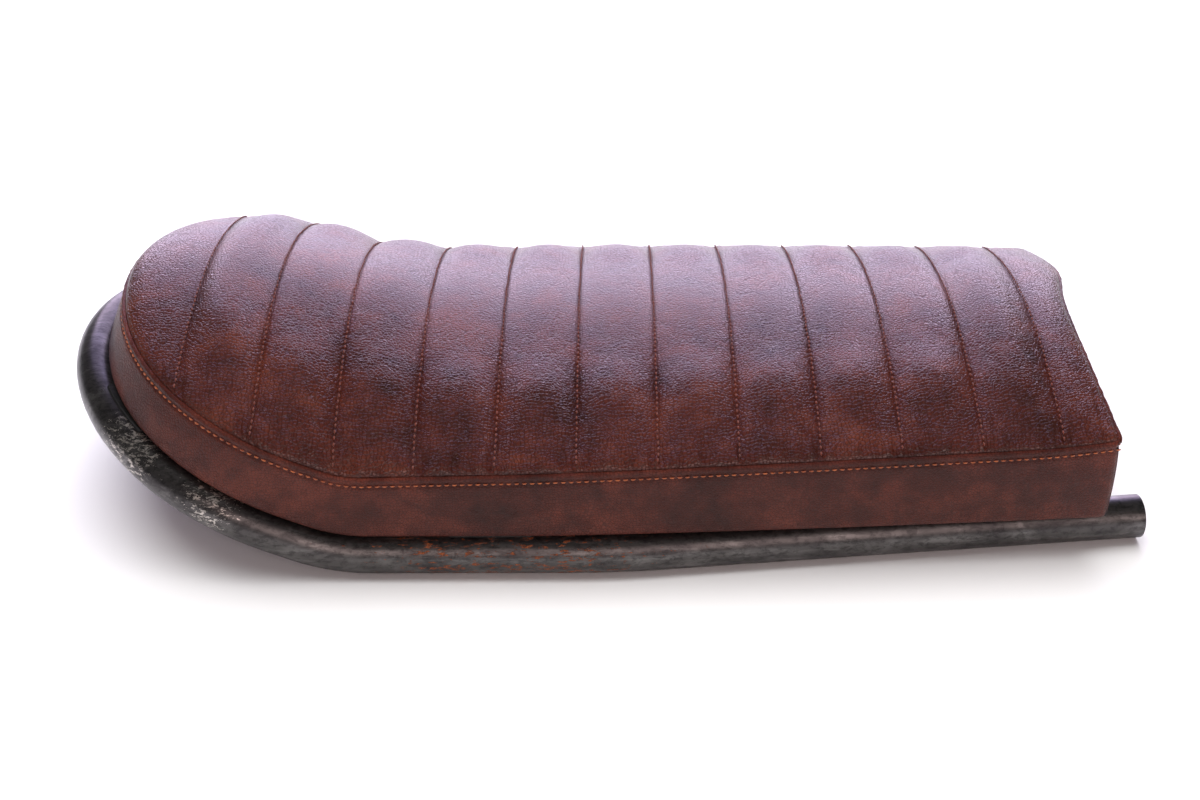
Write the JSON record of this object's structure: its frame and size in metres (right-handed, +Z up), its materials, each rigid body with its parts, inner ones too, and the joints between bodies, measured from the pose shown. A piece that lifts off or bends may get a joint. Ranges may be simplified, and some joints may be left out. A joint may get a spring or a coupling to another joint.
{
  "type": "motorcycle seat",
  "caption": "Quilted leather cafe-style seat with an upturned rounded tail, on a steel pan bolted inside a bent raw-steel hoop rail with open front ends.",
  "frame": {"origin": "bottom centre of the whole object's box, on the plane that the flat rails rest on", "axes": "+X to the front of the motorcycle, where the rails end open; +Y to the left; +Z up"},
  "size_m": [0.5488, 0.247, 0.1166],
  "materials": {
    "raw_steel": "raw mill scale with rust specks",
    "weld": "bare weld bead",
    "rubber": "matte black",
    "zinc": "zinc plated",
    "black_pan": "satin powder coat",
    "foam": "open cell foam",
    "top_leather": "pebbled, semi-gloss",
    "band_leather": "fine grain, satin",
    "tape": "woven tape",
    "groove_thread": "bonded thread",
    "edge_thread": "bonded thread"
  },
  "bodies": {
    "root": {"hoop_tube": "raw_steel", "front_left_tab": "raw_steel", "front_right_tab": "raw_steel", "rear_left_tab": "raw_steel", "rear_right_tab": "raw_steel", "tab_welds": "weld", "tab_grommets": "rubber", "spacer_sleeves": "zinc", "stud_washers": "zinc", "stud_nuts": "zinc", "pan_studs": "zinc", "stud_plates": "zinc", "plate_rivets": "zinc", "seat_pan": "black_pan", "pan_edge_trim": "rubber", "rail_pads": "rubber", "foam_core": "foam", "comfort_foam": "foam", "quilt_padding": "foam", "top_panel": "top_leather", "side_band": "band_leather", "front_band": "band_leather", "seam_tape": "tape", "hem_rivets": "zinc", "channel_stitching": "groove_thread", "edge_stitching": "edge_thread"}
  },
  "joints": []
}
